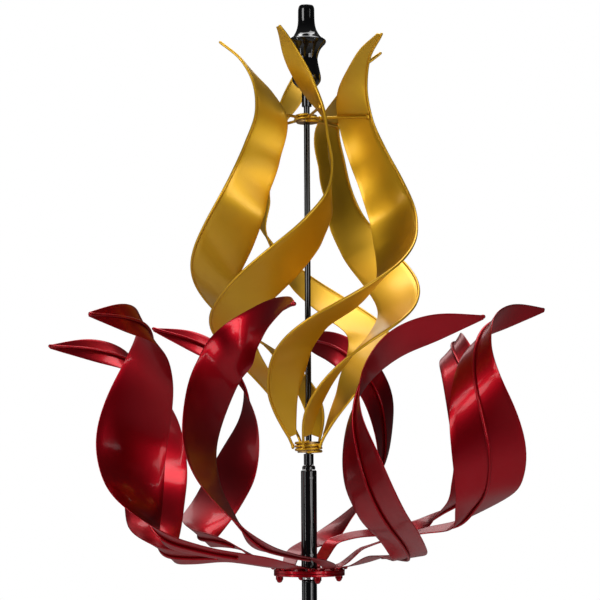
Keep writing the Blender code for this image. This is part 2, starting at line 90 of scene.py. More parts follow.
# Turn, lean, roll, stem twist and tip twist of each hand-bent petal, in degrees. The petals are
# listed anticlockwise from PETAL_FIRST_TURN.
PETAL_SETS = (
    (-10, -4, 7, 14, 48), (3, 6, -11, 24, 0), (9, -2, -4, 10, -7), (4, 1, 2, -3, -8),
    (3, 0, 0, 10, 0), (17, 3, -18, -2, 0), (-7, 5, -2, -14, 0), (-20, -7, 12, -20, 0),
)
PETAL_COUNT = 8
PETAL_FIRST_TURN = -25
SET_FROM, SET_TO = 0.046, 0.150          # radii between which turn, lean and roll come in
STEM_FROM, STEM_FULL = 0.040, 0.090      # radii between which the stem's twist comes in
STEM_LEAVE, STEM_OUT = 0.026, 0.090      # heights over the hub plane between which it goes out again
TIP_FROM, TIP_FULL = 0.215, 0.270        # heights between which the tip's twist comes in
STEM_RISES = (0, 0, 0.014, 0.022, 0, 0, 0, 0)    # how far up each petal's stem is bent, outside the hub
RISE_FROM, RISE_FULL = 0.040, 0.070      # radii between which the rise comes in
RISE_LEAVE, RISE_OUT = 0.034, 0.100      # heights over the hub plane between which it goes out again
SMOOTHING = 0.011                        # the bends are evened out over about this length
SMOOTH_REACH = 3                         # how far a point's neighbours count, in that length
PETAL_SECTIONS = 110
RIB_FROM = 4 / 25                        # share of the petal's length where the rib starts
RIB_RADIUS = 0.00175
KNOB_GROWTH, KNOB_SECTIONS = 0.35, 3     # the rib's end is thicker by this share, over so many sections

# ---- ribbons: radius, turn, height over the hub plane, blade lean, blade dip, width ----------------
FLAME_STATIONS = (
    (0.105, -19, 0.633, 80, -18, 0.005),
    (0.083, -11, 0.611, 70, -12, 0.020),
    (0.073, 3, 0.577, 27, -6, 0.034),
    (0.078, 12, 0.543, -12, -2, 0.040),
    (0.095, 13, 0.503, -14, 0, 0.046),
    (0.112, 13, 0.471, -12, -1, 0.051),
    (0.126, 9, 0.439, -22, 6, 0.057),
    (0.134, -2, 0.406, -28, 8, 0.061),
    (0.139, -22, 0.366, -34, 10, 0.059),
    (0.132, -49, 0.325, -33, 11, 0.053),
    (0.117, -79, 0.287, -20, 10, 0.049),
    (0.097, -97, 0.262, -16, 12, 0.047),
    (0.074, -115, 0.234, -22, 10, 0.043),
    (0.056, -132, 0.206, -24, 6, 0.034),
    (0.036, -147, 0.176, -28, 2, 0.021),
    (0.024, -153, 0.158, -34, 2, 0.010),
)
FLAME_WIRE_END = (0.0190, -157, 0.1475, -34, 2, 0.006)   # the station where the edge wire meets the coil
RIBBON_COUNT = 5
FLAME_SETS = (2, 5, -6, -14, 10)         # turn of each hand-set ribbon
FLAME_SECTIONS = 150
TAIL_POINTS, TAIL_FROM = 13, 7           # points of the bend down to the coil, and the first one used
WIRE_RADIUS = 0.00175
SPOKE_RADIUS = 0.00175
SPOKE_STEPS = 24
COIL_WIRE = 0.0016                       # radius of the coils' wire
COIL_PITCH = 2 * COIL_WIRE + 0.0007
COIL_STEPS = 48                          # for each turn of a coil
BOTTOM_COIL = (0.0150, 0.1405, 3)        # radius, height over the hub plane, turns
TOP_COIL = (0.0142, 0.5375, 2)

# ---- sheet, wire and other stock -------------------------------------------------------------------
SHEET = 0.0012                           # thickness of petals and ribbons
SHEET_COLUMNS, EDGE_STEPS = 11, 4        # points across a sheet, and round each rolled edge
ROLL_MOST = 0.98                         # share of a narrow sheet's width that its rolled edges may take
MIN_WIDTH = 0.002
RIB_CLEAR, WIRE_CLEAR = 0.90, 0.85       # distances of the rib and the wire from the sheet, in their radii
ROD_SIDES = 14
ROD_DOME = (75, 50, 25)                  # slopes of the rings that close a wire's end
OBLIQUE = np.array((0.31, 0.17, 0.93))   # a direction that none of the wires follows
GAP = 0.0002                             # between two solids that touch in the real thing
EDGE_SOFT, SMALL_SOFT, TUBE_SOFT = 0.0004, 0.0002, 0.0003    # widths of softened edges
SOFT_ANGLE = 35                          # sharper edges than this are softened
FINE_SIDES, TUBE_SIDES, ROUND_SIDES, BOLT_SIDES, SCREW_SIDES = 96, 72, 48, 32, 24
WELD_SHARP, LATHE_SHARP, FINIAL_SHARP = 60, 50, 30           # edges stay sharp from these angles on


# ---- geometry helpers ------------------------------------------------------------------------------
def outwards(turn):
    """The level direction away from the pole at a turn."""
    angle = math.radians(turn)
    return np.array((math.sin(angle), -math.cos(angle), 0.0))


def unit(vectors):
    """The vectors at a length of 1."""
    return vectors / np.linalg.norm(vectors, axis=-1, keepdims=True)


def rotation(axis, degrees):
    """The matrix of a turn about the X, Y or Z axis."""
    a = math.radians(degrees)
    c, s = math.cos(a), math.sin(a)
    if axis == "X":
        return np.array(((1, 0, 0), (0, c, -s), (0, s, c)))
    if axis == "Y":
        return np.array(((c, 0, s), (0, 1, 0), (-s, 0, c)))
    return np.array(((c, -s, 0), (s, c, 0), (0, 0, 1)))


def places(rows):
    """Points of the rows' radius, turn and height."""
    angle = np.radians(rows[:, 1])
    return np.stack([rows[:, 0] * np.sin(angle), -rows[:, 0] * np.cos(angle), rows[:, 2]], 1)


def sample(stations, shares):
    """Rows of a smooth curve through the stations, at these shares of its length."""
    table = np.array(stations, float)
    along = np.concatenate([[0], np.cumsum(np.linalg.norm(np.diff(places(table), axis=0), axis=1))])
    slope = np.gradient(table, along, axis=0)
    where = np.asarray(shares) * along[-1]
    index = np.clip(np.searchsorted(along, where, side="right") - 1, 0, len(along) - 2)
    span = (along[index + 1] - along[index])[:, None]
    t = (where - along[index])[:, None] / span
    start, end = table[index], table[index + 1]
    return ((2 * t**3 - 3 * t**2 + 1) * start + (t**3 - 2 * t**2 + t) * span * slope[index]
            + (3 * t**2 - 2 * t**3) * end + (t**3 - t**2) * span * slope[index + 1])


def frames(rows, blade_turns):
    """Centres, run directions, across directions and widths of the sections of a strip."""
    centre = places(rows) + UP * HUB_Z
    run = unit(np.gradient(centre, axis=0))
    edge, dip = np.radians(blade_turns), np.radians(rows[:, 4])
    across = np.stack([np.sin(edge) * np.cos(dip), -np.cos(edge) * np.cos(dip), -np.sin(dip)], 1)
    across = unit(across - run * np.sum(across * run, axis=1, keepdims=True))
    return centre, run, across, np.maximum(rows[:, 5], MIN_WIDTH)


def step(values, low, high):
    """0 up to low, 1 from high on, and a smooth rise between them."""
    t = np.clip((values - low) / (high - low), 0, 1)
    return t * t * (3 - 2 * t)


def evened(rows):
    """The rows of a finely sampled strip with their sharp bends evened out; both ends stay."""
    pitch = np.linalg.norm(np.diff(places(rows), axis=0), axis=1).mean()
    reach = int(SMOOTH_REACH * SMOOTHING / pitch)
    weights = np.exp(-0.5 * (np.arange(-reach, reach + 1) * pitch / SMOOTHING) ** 2)
    before = 2 * rows[0] - rows[reach:0:-1]
    after = 2 * rows[-1] - rows[-2:-reach - 2:-1]
    padded = np.concatenate([before, rows, after])
    return np.stack([np.convolve(column, weights / weights.sum(), "valid") for column in padded.T], 1)


def petal_frames(index):
    """The sections of one petal: the common shape, hand-bent by its own set, twists and rise."""
    rows = evened(sample(PETAL_STATIONS, np.linspace(0, 1, PETAL_SECTIONS)))
    rise = step(rows[:, 0], RISE_FROM, RISE_FULL) * (1 - step(rows[:, 2], RISE_LEAVE, RISE_OUT))
    rows[:, 2] += STEM_RISES[index] * rise
    turn, lean, roll, stem_twist, tip_twist = PETAL_SETS[index]
    stem = step(rows[:, 0], STEM_FROM, STEM_FULL) * (1 - step(rows[:, 2], STEM_LEAVE, STEM_OUT))
    twist = stem_twist * stem + tip_twist * step(rows[:, 2], TIP_FROM, TIP_FULL)
    centre, run, across, width = frames(rows, rows[:, 1] + rows[:, 3])
    twist = np.radians(twist)[:, None]
    across = across * np.cos(twist) + np.cross(across, run) * np.sin(twist)
    place = PETAL_FIRST_TURN + 360 / PETAL_COUNT * index
    fade = step(rows[:, 0], SET_FROM, SET_TO)
    hub = UP * HUB_Z
    for i, share in enumerate(fade):
        swing = rotation("Z", place + turn * share) @ rotation("Y", roll * share)
        swing = swing @ rotation("X", lean * share)
        centre[i] = swing @ (centre[i] - hub) + hub
        run[i], across[i] = swing @ run[i], swing @ across[i]
    return centre, run, across, width


def flame_frames(index, stations, shares):
    """The sections of one ribbon, or of its wire's bare end."""
    rows = sample(stations, shares)
    rows[:, 1] += 360 / RIBBON_COUNT * index + FLAME_SETS[index]
    return frames(rows, rows[:, 1] + 180 + rows[:, 3])


# ---- mesh helpers ----------------------------------------------------------------------------------
def piece(name, verts, faces, material, body, slot, replaced, sharp=40):
    """One finished piece: closed mesh, smooth shading, riding on its body in place of CAD nodes."""
    mesh = bpy.data.meshes.new(name)
    mesh.from_pydata([tuple(v) for v in verts], [], faces)
    bm = bmesh.new()
    bm.from_mesh(mesh)
    bmesh.ops.recalc_face_normals(bm, faces=bm.faces)
    bm.to_mesh(mesh)
    bm.free()
    mesh.shade_smooth()
    mesh.set_sharp_from_angle(angle=math.radians(sharp))
    thing = bpy.data.objects.new(name, mesh)
    mesh.materials.append(material)
    bpy.context.scene.collection.objects.link(thing)
    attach(thing, body)
    if replaced:
        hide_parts(*replaced)
    return thing


def loft(rings):
    """Faces and points of a closed skin through rings of equal length, with both ends capped."""
    count, size = len(rings), len(rings[0])
    verts = np.concatenate(rings)
    faces = []
    for i in range(count - 1):
        for k in range(size):
            m = (k + 1) % size
            faces.append((i * size + k, i * size + m, (i + 1) * size + m, (i + 1) * size + k))
    faces.append(tuple(range(size))[::-1])
    faces.append(tuple((count - 1) * size + k for k in range(size)))
    return verts, faces


def strip_rings(centre, across, face, near, far):
    """Cross-sections of a thin sheet with rolled edges; near and far are its two edges' distances."""
    rings = []
    half = SHEET / 2
    bend = np.radians(np.linspace(90, -90, EDGE_STEPS + 2)[1:-1])
    for c, a, f, s0, s1 in zip(centre, across, face, near, far):
        roll = min(half, (s1 - s0) / 2 * ROLL_MOST)
        inner0, inner1 = s0 + roll, s1 - roll
        flat = np.linspace(inner0, inner1, SHEET_COLUMNS)
        s = np.concatenate([flat, inner1 + roll * np.cos(bend), flat[::-1],
                            inner0 - roll * np.cos(bend)])
        t = np.concatenate([np.full(SHEET_COLUMNS, half), half * np.sin(bend),
                            np.full(SHEET_COLUMNS, -half), -half * np.sin(bend)])
        rings.append(c + np.outer(s, a) + np.outer(t, f))
    return rings


def rod_rings(centre, radius, guide=None):
    """Rings of a round wire along the centres, with domed ends; radius may vary along it.

    The guide gives each ring its first direction. Without one, a ring follows the ring before it.
    """
    centre = np.asarray(centre, float)
    run = unit(np.gradient(centre, axis=0))
    radius = np.broadcast_to(radius, len(centre))
    turns = 2 * np.pi * np.arange(ROD_SIDES) / ROD_SIDES

    def ring(c, r, n, u):
        side = np.cross(u, n)
        return c + r * (np.outer(np.cos(turns), n) + np.outer(np.sin(turns), side))

    normal = OBLIQUE
    normals = []
    for i, u in enumerate(run):
        normal = guide[i] if guide is not None else normal
        normal = unit(normal - u * np.dot(normal, u))
        normals.append(normal)
    dome = np.radians(ROD_DOME)
    rings = [ring(centre[0] - run[0] * radius[0] * math.sin(a), radius[0] * math.cos(a),
                  normals[0], run[0]) for a in dome]
    rings += [ring(c, r, n, u) for c, r, n, u in zip(centre, radius, normals, run)]
    rings += [ring(centre[-1] + run[-1] * radius[-1] * math.sin(a), radius[-1] * math.cos(a),
                   normals[-1], run[-1]) for a in dome[::-1]]
    return rings


def circle(sides):
    """Points of a level circle of radius 1."""
    turns = 2 * np.pi * np.arange(sides) / sides
    return np.stack([np.sin(turns), -np.cos(turns), np.zeros(sides)], 1)


def turned(profile, sides, centre=(0, 0, 0)):
    """A solid of revolution about a vertical axis; the profile is a loop of (radius, height)."""
    unit_circle = circle(sides)
    verts, rings = [], []
    for radius, height in profile:
        base = np.array(centre, float) + UP * height
        if radius == 0:
            rings.append([len(verts)])
            verts.append(base)
        else:
            rings.append(list(range(len(verts), len(verts) + sides)))
            verts.extend(base + radius * unit_circle)
    closed = profile[0][0] != 0
    faces = []
    for i in range(len(rings) if closed else len(rings) - 1):
        low, high = rings[i], rings[(i + 1) % len(rings)]
        if len(low) == len(high) == 1:
            continue
        for k in range(sides):
            m = (k + 1) % sides
            if len(low) == 1:
                faces.append((low[0], high[k], high[m]))
            elif len(high) == 1:
                faces.append((low[k], high[0], low[m]))
            else:
                faces.append((low[k], low[m], high[m], high[k]))
    return verts, faces


def merged(parts):
    """Several closed shapes as the points and faces of one mesh."""
    verts, faces = [], []
    for part_verts, part_faces in parts:
        start = len(verts)
        verts.extend(part_verts)
        faces.extend(tuple(start + k for k in face) for face in part_faces)
    return verts, faces


BEAD_SIDES, BEAD_RINGS, BEAD_SLOPE = 18, 8, 70
BEAD_ASIDE = (0.36, 0.48, 0.80)          # a direction that no bead is drawn along
BIG_LUMPS, SMALL_LUMPS = 0.07, 0.04      # how far the lumps round a bead rise and sink, in its radii


def bead(centre, radius, along, stretch, seed):
    """A weld bead: a ball with three large and seven small lumps round it, drawn out one way."""
    along = unit(np.array(along, float))
    side = unit(np.cross(along, BEAD_ASIDE))
    other = np.cross(along, side)
    rings, faces = [[np.array(centre) - along * radius * stretch]], []
    for lift in np.radians(np.linspace(-BEAD_SLOPE, BEAD_SLOPE, BEAD_RINGS)):
        ring = []
        for k in range(BEAD_SIDES):
            a = 2 * math.pi * k / BEAD_SIDES
            lump = radius * (1 + BIG_LUMPS * math.sin(3 * a + 5 * lift + seed)
                             + SMALL_LUMPS * math.sin(7 * a - 4 * lift))
            flat = (side * math.cos(a) + other * math.sin(a)) * math.cos(lift)
            ring.append(np.array(centre) + flat * lump + along * math.sin(lift) * lump * stretch)
        rings.append(ring)
    rings.append([np.array(centre) + along * radius * stretch])
    verts = [point for ring in rings for point in ring]
    last = len(verts) - 1
    for k in range(BEAD_SIDES):
        m = (k + 1) % BEAD_SIDES
        faces.append((0, 1 + m, 1 + k))
        for i in range(BEAD_RINGS - 1):
            low, high = 1 + i * BEAD_SIDES, 1 + (i + 1) * BEAD_SIDES
            faces.append((low + k, low + m, high + m, high + k))
        faces.append((last - BEAD_SIDES + k, last - BEAD_SIDES + m, last))
    return verts, faces


def aimed(verts, turn, height):
    """Points made about the vertical axis, turned so that their top looks outwards from the pole."""
    out = outwards(turn)
    side = np.cross(UP, out)
    return [out * v[2] + side * v[0] + UP * (height + v[1]) for v in np.array(verts, float)]


EASE_STEPS = 6


def eased(points):
    """A smooth open curve through the points (Catmull-Rom)."""
    p = np.array(points, float)
    p = np.vstack([2 * p[0] - p[1], p, 2 * p[-1] - p[-2]])
    out = []
    for i in range(1, len(p) - 2):
        for t in np.arange(EASE_STEPS) / EASE_STEPS:
            out.append(0.5 * (2 * p[i] + (p[i + 1] - p[i - 1]) * t
                              + (2 * p[i - 1] - 5 * p[i] + 4 * p[i + 1] - p[i + 2]) * t**2
                              + (3 * p[i] - p[i - 1] - 3 * p[i + 1] + p[i + 2]) * t**3))
    out.append(p[-2])
    return [(max(float(x), 0.0), float(z)) for x, z in out]


def soften(thing, width=EDGE_SOFT, segments=3):
    """Round the sharp edges of a piece."""
    bevel = thing.modifiers.new("soft_edges", "BEVEL")
    bevel.width = width
    bevel.segments = segments
    bevel.limit_method = "ANGLE"
    bevel.angle_limit = math.radians(SOFT_ANGLE)


def heights(node):
    """The lowest and highest z of a CAD node at rest."""
    low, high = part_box(node)
    return low.z, high.z


# ---- materials -------------------------------------------------------------------------------------
NOISE_LOW, NOISE_HIGH = 0.3, 0.7         # a noise mostly stays between these


class Finish:
    """A Principled material with its node helpers."""

    def __init__(self, name, **sockets):
        self.material = bpy.data.materials.new(name)
        self.material.use_nodes = True
        self.tree = self.material.node_tree
        self.shader = self.tree.nodes["Principled BSDF"]
        for socket, value in sockets.items():
            self.shader.inputs[socket.replace("_", " ")].default_value = value
        self.place = self.tree.nodes.new("ShaderNodeTexCoord").outputs["Object"]

    def noise(self, scale, detail):
        """A noise with so many features to the metre, about, and so many octaves of detail."""
        node = self.tree.nodes.new("ShaderNodeTexNoise")
        node.inputs["Scale"].default_value = scale
        node.inputs["Detail"].default_value = detail
        self.tree.links.new(self.place, node.inputs["Vector"])
        return node.outputs["Fac"]

    def tones(self, source, *stops):
        """Colour from a noise, by (value, colour) stops."""
        node = self.tree.nodes.new("ShaderNodeValToRGB")
        for element, (position, colour) in zip(node.color_ramp.elements, stops):
            element.position = position
            element.color = (*colour, 1)
        self.tree.links.new(source, node.inputs["Fac"])
        self.link(node.outputs["Color"], "Base Color")

    def roughness(self, source, low, high):
        """Roughness between low and high, following a noise."""
        node = self.tree.nodes.new("ShaderNodeMapRange")
        for socket, value in (("From Min", NOISE_LOW), ("From Max", NOISE_HIGH),
                              ("To Min", low), ("To Max", high)):
            node.inputs[socket].default_value = value
        self.tree.links.new(source, node.inputs["Value"])
        self.link(node.outputs["Result"], "Roughness")

    def bump(self, source, depth, below=None):
        """Surface relief from a noise, in metres, on top of the relief below it."""
        node = self.tree.nodes.new("ShaderNodeBump")
        node.inputs["Distance"].default_value = depth
        self.tree.links.new(source, node.inputs["Height"])
        if below is not None:
            self.tree.links.new(below, node.inputs["Normal"])
        return node.outputs["Normal"]

    def link(self, source, socket):
        self.tree.links.new(source, self.shader.inputs[socket])


def candy_red():
    """Metallic red under a clear coat: fine flakes, faint orange peel and slow changes of tone."""
    paint = Finish("candy_red", Metallic=0.92, Coat_Weight=0.26, Coat_Roughness=0.11, Coat_IOR=1.5)
    cloud, flake = paint.noise(14, 3), paint.noise(2400, 1)
    paint.tones(cloud, (0.25, (0.285, 0.0002, 0.005)), (0.75, (0.340, 0.0004, 0.008)))
    paint.roughness(flake, low=0.35, high=0.44)
    peel = paint.bump(paint.noise(160, 2), depth=0.00003)
    paint.link(paint.bump(flake, depth=0.000008, below=peel), "Normal")
    paint.link(peel, "Coat Normal")
    return paint.material


def satin_gold():
    """Metallic gold paint with a satin surface: fine flakes and slow changes of tone."""
    paint = Finish("satin_gold", Metallic=0.96, Coat_Weight=0.35, Coat_Roughness=0.24)
    cloud, flake = paint.noise(11, 3), paint.noise(1300, 2)
    paint.tones(cloud, (0.25, (0.670, 0.370, 0.014)), (0.75, (0.730, 0.420, 0.022)))
    paint.roughness(flake, low=0.42, high=0.54)
    peel = paint.bump(paint.noise(210, 2), depth=0.00003)
    paint.link(paint.bump(flake, depth=0.00002, below=peel), "Normal")
    return paint.material


def gloss_black():
    """Black powder coat: deep gloss with faint orange peel."""
    paint = Finish("gloss_black", Metallic=0.0, Specular_IOR_Level=0.05, Coat_Weight=0.85,
                   Coat_Roughness=0.015)
    paint.tones(paint.noise(60, 3), (0.3, (0.0020, 0.0020, 0.0024)), (0.7, (0.0036, 0.0036, 0.0042)))
    paint.roughness(paint.noise(35, 4), low=0.10, high=0.18)
    peel = paint.bump(paint.noise(260, 2), depth=0.000005)
    paint.link(peel, "Normal")
    paint.link(peel, "Coat Normal")
    return paint.material


def sintered_bronze():
    """Bare bronze with the fine grain of pressed powder."""
    metal = Finish("sintered_bronze", Metallic=1.0)
    grain = metal.noise(2200, 3)
    metal.tones(grain, (0.3, (0.24, 0.14, 0.05)), (0.7, (0.42, 0.27, 0.12)))
    metal.roughness(grain, low=0.38, high=0.55)
    metal.link(metal.bump(grain, depth=0.00008), "Normal")
    return metal.material


def zinc():
    """Zinc plate: grey metal with a cloudy tone."""
    metal = Finish("zinc_plate", Metallic=1.0)
    cloud = metal.noise(90, 4)
    metal.tones(cloud, (0.3, (0.40, 0.40, 0.42)), (0.7, (0.58, 0.58, 0.57)))
    metal.roughness(cloud, low=0.24, high=0.40)
    metal.link(metal.bump(metal.noise(1400, 2), depth=0.00004), "Normal")
    return metal.material


RED, GOLD, BLACK = candy_red(), satin_gold(), gloss_black()
BRONZE, ZINC = sintered_bronze(), zinc()


# ---- bloom -----------------------------------------------------------------------------------------
PLATE_RADIUS, PLATE_TOP, PLATE_BOTTOM, FLANGE_BOTTOM = 0.042, 0.002, -0.0015, -0.005
WELD_RADIUS, WELD_STRETCH = 0.0017, 1.6  # the beads along the foot of each petal
WELD_SHIFT = 1.3                         # how far each bead's lumps are shifted from the one before
TUBE_RADIUS, TUBE_BORE, TUBE_TOP, TUBE_CHAMFER = 0.0094, 0.0076, 0.119, 0.0010
SET_SCREW_TURN, SET_SCREW_RISES = 18, (0.110, 0.019)
# A set screw's outline: radius, distance out from the tube's surface
SET_SCREW_PROFILE = ((0, -0.0008), (0.0010, -0.0008), (0.0011, 0.0003), (0.0019, 0.0003),
                     (0.0022, -0.0001), (0.0022, -0.0014), (0, -0.0014))
BOLT_COUNT, BOLT_CIRCLE, BOLT_TURN = 4, 0.0365, 15.5
BOLT_RADIUS, BOLT_HEAD, BOLT_HEAD_HEIGHT = 0.0022, 0.0042, 0.0022
BOLT_END = 0.003                         # how far a bolt goes into its cap nut
BOLT_HEAD_SHAPE = ((1, 0), (1, 0.5), (0.85, 0.85), (0.5, 1), (0, 1))    # shares of radius and height
NUT_RADIUS, NUT_HEIGHT = 0.0044, 0.0045
NUT_BEVEL, NUT_CORNER = 0.0004, 0.93     # height of a nut's turned corners, and the share they leave
DOME_RADIUS, DOME_SLOPES = 0.0036, (0, 15, 30, 45, 60, 75, 88)


def build_petals():
    """Eight petals, and the rib along the middle of each."""
    start, last = int(RIB_FROM * PETAL_SECTIONS), PETAL_SECTIONS - 1
    knob = RIB_RADIUS * (1 + KNOB_GROWTH * step(np.arange(PETAL_SECTIONS), last - KNOB_SECTIONS, last))
    for index in range(PETAL_COUNT):
        number = index + 1
        centre, run, across, width = petal_frames(index)
        face = unit(np.cross(across, run))
        rings = strip_rings(centre, across, face, -width / 2, width / 2)
        piece(f"red_petal_{number}", *loft(rings), RED, "bloom", "candy_red", [f"petal_{number}"])
        spine = centre + face * (SHEET / 2 + RIB_RADIUS * RIB_CLEAR)
        rings = rod_rings(spine[start:], knob[start:], face[start:])
        piece(f"red_rib_{number}", *loft(rings), RED, "bloom", "candy_red", [f"petal_rib_{number}"])


def build_petal_welds():
    """A row of small beads along both sides of each petal where it lies on the plate."""
    for index in range(PETAL_COUNT):
        centre, run, across, width = petal_frames(index)
        beads = []
        for i, middle in enumerate(centre):
            if np.linalg.norm(middle[:2]) >= PLATE_RADIUS - WELD_RADIUS:
                continue
            for side in (-1, 1):
                place = middle + across[i] * side * width[i] / 2
                place[2] = (place[2] + HUB_Z + PLATE_TOP) / 2
                beads.append(bead(place, WELD_RADIUS, run[i], WELD_STRETCH, WELD_SHIFT * i + side))
        piece(f"red_weld_{index + 1}", *merged(beads), RED, "bloom", "candy_red", [], WELD_SHARP)


def build_hub():
    """Petal plate, flanged hub tube with its set screws, and four bolts with cap nuts."""
    low, high, base = HUB_Z + PLATE_BOTTOM, HUB_Z + PLATE_TOP, HUB_Z + FLANGE_BOTTOM
    top, inner = HUB_Z + TUBE_TOP, TUBE_RADIUS + GAP
    profile = ((inner, low), (PLATE_RADIUS, low), (PLATE_RADIUS, high), (inner, high))
    soften(piece("red_plate", *turned(profile, FINE_SIDES), RED, "bloom", "candy_red", ["petal_plate"]))
    profile = ((inner, base), (PLATE_RADIUS, base), (PLATE_RADIUS, low - GAP), (inner, low - GAP))
    soften(piece("red_flange", *turned(profile, FINE_SIDES), RED, "bloom", "candy_red", ["hub_tube"]))
    profile = ((TUBE_BORE, base), (TUBE_RADIUS, base), (TUBE_RADIUS, top - TUBE_CHAMFER),
               (TUBE_RADIUS - TUBE_CHAMFER, top), (TUBE_BORE, top))
    soften(piece("black_hub_tube", *turned(profile, FINE_SIDES), BLACK, "bloom", "black_coat",
                 ["hub_tube"]))
    for number, rise in enumerate(SET_SCREW_RISES, 1):
        verts, faces = turned(SET_SCREW_PROFILE, SCREW_SIDES, UP * TUBE_RADIUS)
        piece(f"black_set_screw_{number}", aimed(verts, SET_SCREW_TURN, HUB_Z + rise), faces, BLACK,
              "bloom", "black_coat", [])
    for k in range(BOLT_COUNT):
        place = outwards(BOLT_TURN + 360 * k / BOLT_COUNT) * BOLT_CIRCLE
        profile = [(0, base - BOLT_END), (BOLT_RADIUS, base - BOLT_END), (BOLT_RADIUS, high)]
        profile += [(BOLT_HEAD * out, high + BOLT_HEAD_HEIGHT * up) for out, up in BOLT_HEAD_SHAPE]
        bolt = piece(f"red_bolt_{k + 1}", *turned(profile, BOLT_SIDES, place), RED, "bloom",
                     "candy_red", [f"hub_bolt_{k + 1}"])
        soften(bolt, SMALL_SOFT)
        piece(f"red_cap_nut_{k + 1}", *cap_nut(place, base), RED, "bloom", "candy_red",
              [f"cap_nut_{k + 1}"])


def cap_nut(place, top):
    """A hexagon nut under the flange, closed by a dome."""
    turns = 2 * np.pi * np.arange(ROUND_SIDES) / ROUND_SIDES
    half_flat = np.pi / 6
    hexagon = NUT_RADIUS * np.cos(half_flat) / np.cos((turns + half_flat) % (2 * half_flat) - half_flat)
    corners = np.minimum(hexagon, NUT_RADIUS * NUT_CORNER)
    levels = [(corners, 0), (hexagon, NUT_BEVEL), (hexagon, NUT_HEIGHT - NUT_BEVEL), (corners, NUT_HEIGHT)]
    for a in np.radians(DOME_SLOPES):
        dome = np.full(ROUND_SIDES, DOME_RADIUS * math.cos(a))
        levels.append((dome, NUT_HEIGHT + DOME_RADIUS * math.sin(a)))
    return loft([place + UP * (top - depth) + circle(ROUND_SIDES) * radius[:, None]
                 for radius, depth in levels])


# ---- flame -----------------------------------------------------------------------------------------
# Size in wire radii, and stretch, of the welds at a spoke's outer and inner end and a wire's foot
FLAME_WELDS = ((1.35, 1.7), (1.30, 1.3), (1.25, 1.5))


def build_flame():
    """Five ribbons, each with its edge wire, spoke and welds, and the two coils that hold them."""
    shares = np.linspace(0, 1, FLAME_SECTIONS)
    tail_stations = FLAME_STATIONS[-2:] + (FLAME_WIRE_END,)
    tail_shares = np.linspace(0, 1, TAIL_POINTS)[TAIL_FROM:]
    start = WIRE_RADIUS * WIRE_CLEAR
    for index in range(RIBBON_COUNT):
        number = index + 1
        centre, run, across, width = flame_frames(index, FLAME_STATIONS, shares)
        face = unit(np.cross(across, run))
        rings = strip_rings(centre, across, face, np.full(len(width), start), start + width)
        piece(f"gold_ribbon_{number}", *loft(rings), GOLD, "flame", "gold_paint",
              [f"flame_ribbon_{number}"])
        tail, _, tail_across, _ = flame_frames(index, tail_stations, tail_shares)
        line = np.concatenate([centre, tail])
        rings = rod_rings(line, WIRE_RADIUS, np.concatenate([across, tail_across]))
        piece(f"gold_edge_wire_{number}", *loft(rings), GOLD, "flame", "gold_paint",
              [f"flame_wire_{number}"])
        near = int(np.argmin(np.abs(centre[:, 2] - SPOKE_Z)))
        side = face[near] * (SHEET / 2 + SPOKE_RADIUS)
        outer = centre[near] + across[near] * (WIRE_RADIUS + SPOKE_RADIUS) + side
        flat = np.array((outer[0], outer[1], 0.0))
        inner = unit(flat) * (TOP_COIL[0] + COIL_WIRE) + UP * SPOKE_Z
        path = inner + (outer - inner) * np.linspace(0, 1, SPOKE_STEPS)[:, None]
        piece(f"gold_spoke_{number}", *loft(rod_rings(path, SPOKE_RADIUS)), GOLD, "flame",
              "gold_paint", [f"top_spoke_{number}"])
        joins = ((outer, SPOKE_RADIUS, run[near]), (inner, SPOKE_RADIUS, outer - inner),
                 (line[-1], WIRE_RADIUS, UP))
        beads = [bead(place, radius * size, along, stretch, number + 2 * k)
                 for k, ((place, radius, along), (size, stretch)) in enumerate(zip(joins, FLAME_WELDS))]
        piece(f"gold_weld_{number}", *merged(beads), GOLD, "flame", "gold_paint", [], WELD_SHARP)
    for name, node, (radius, low, turns) in (("gold_foot_coil", "bottom_coil", BOTTOM_COIL),
                                             ("gold_neck_coil", "top_coil", TOP_COIL)):
        line = [outwards(360 * turns * s) * radius + UP * (HUB_Z + low + COIL_PITCH * turns * s)
                for s in np.linspace(0, 1, COIL_STEPS * turns + 1)]
        piece(name, *loft(rod_rings(line, COIL_WIRE)), GOLD, "flame", "gold_paint", [node])


# ---- pole, spindle, finial -------------------------------------------------------------------------
SPINDLE_RADIUS, SPACER_RADIUS, WASHER_RADIUS = 0.0036, 0.0059, 0.0086
COLLAR_RADIUS, COLLAR_TOP_RADIUS, COLLAR_SLOPE = 0.0078, 0.0062, 0.0016
BUSH_PLAY = 0.0003                       # between a bush and the spindle
# The finial's outline from the sleeve to the crown: radius, height over the hub plane
FINIAL_SLEEVE = ((0.0060, 0.557), (0.0060, 0.5785))
FINIAL_BULB = ((0.0062, 0.5785), (0.0115, 0.5810), (0.0168, 0.5875), (0.0174, 0.5935), (0.0160, 0.6010),
               (0.0140, 0.6110), (0.0138, 0.6175), (0.0170, 0.6270), (0.0232, 0.6345))
FINIAL_FLARE = ((0.0240, 0.6370), (0.0228, 0.6388), (0.0165, 0.6440), (0.0120, 0.6520), (0.0102, 0.6620),
                (0.0099, 0.6775))
FINIAL_CROWN = ((0.0099, 0.6775), (0.0085, 0.6808), (0.0050, 0.6818), (0, 0.6820))
FINIAL_SEAT = 0.641                      # height over the hub plane where its bore ends
POLE_RADIUS, POLE_BORE, NECK_BORE = 0.0090, 0.0078, 0.0064
JOINT_GAP = 0.0003                       # between the two parts of the pole
PLUG_PLAY, PLUG_RIM, ROD_DEPTH = 0.0003, 0.003, 0.060
PLUG_ROUNDING = ((0, 0.0009), (0.0003, 0.0003), (0.0009, 0))     # in from the rim, down from its top


